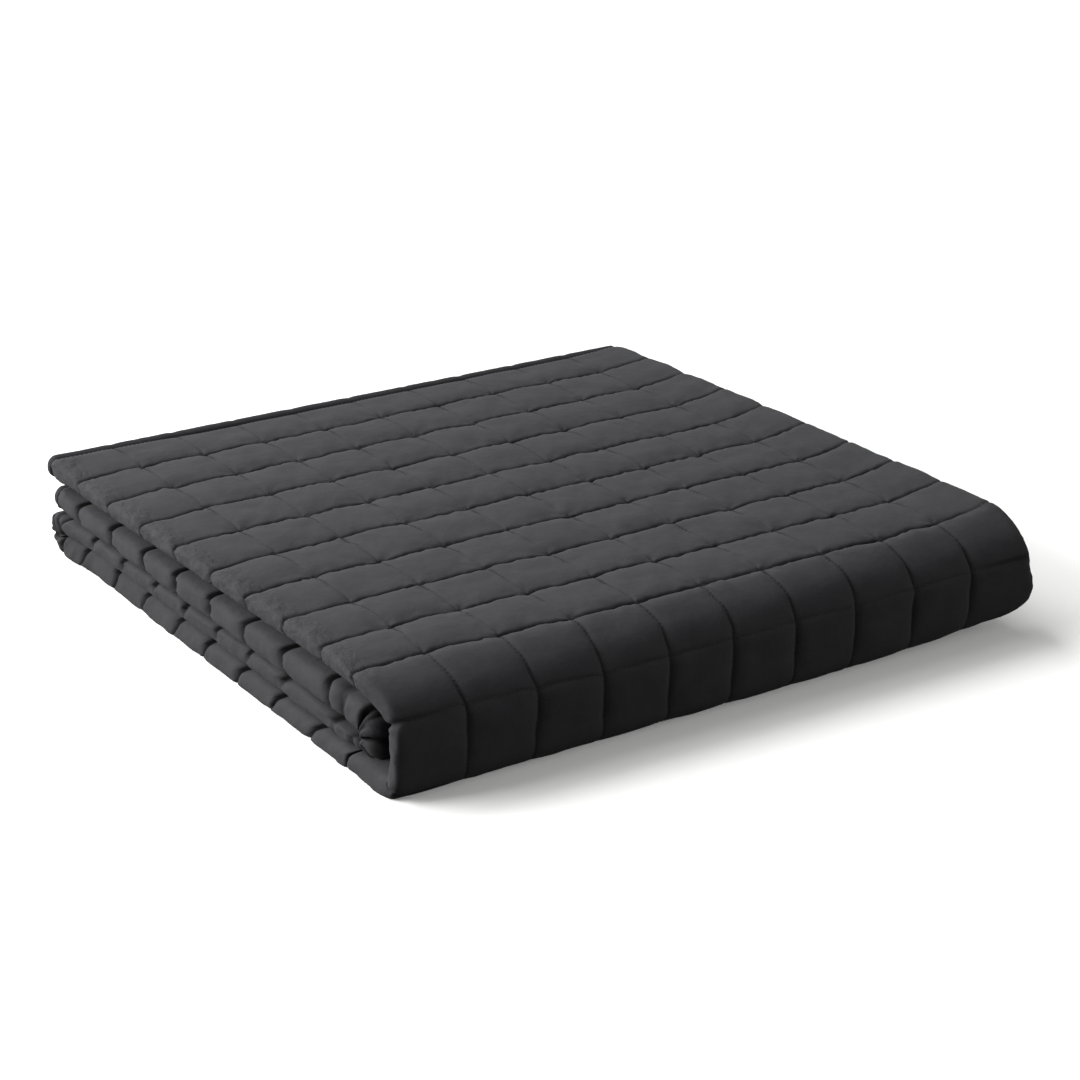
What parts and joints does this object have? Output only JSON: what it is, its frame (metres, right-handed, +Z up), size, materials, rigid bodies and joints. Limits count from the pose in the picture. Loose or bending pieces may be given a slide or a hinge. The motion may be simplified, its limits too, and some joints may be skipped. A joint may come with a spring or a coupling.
{
  "type": "weighted blanket",
  "caption": "Dark grey weighted blanket quilted in small squares, folded into a neat flat pile with a rounded front fold and bound ends at the back.",
  "frame": {"origin": "middle of the folded pile's underside, on the surface it rests on", "axes": "+Z up out of the surface; +Y towards the free ends at the back; +X along the front wrap fold, towards its right end"},
  "size_m": [0.516, 0.4946, 0.0808],
  "materials": {
    "cover_cloth": "matt woven cotton, charcoal",
    "edge_binding": "matt woven cotton binding, charcoal"
  },
  "bodies": {
    "root": {"quilted_blanket": "cover_cloth", "top_end_binding": "edge_binding", "inner_end_binding": "edge_binding"}
  },
  "joints": []
}
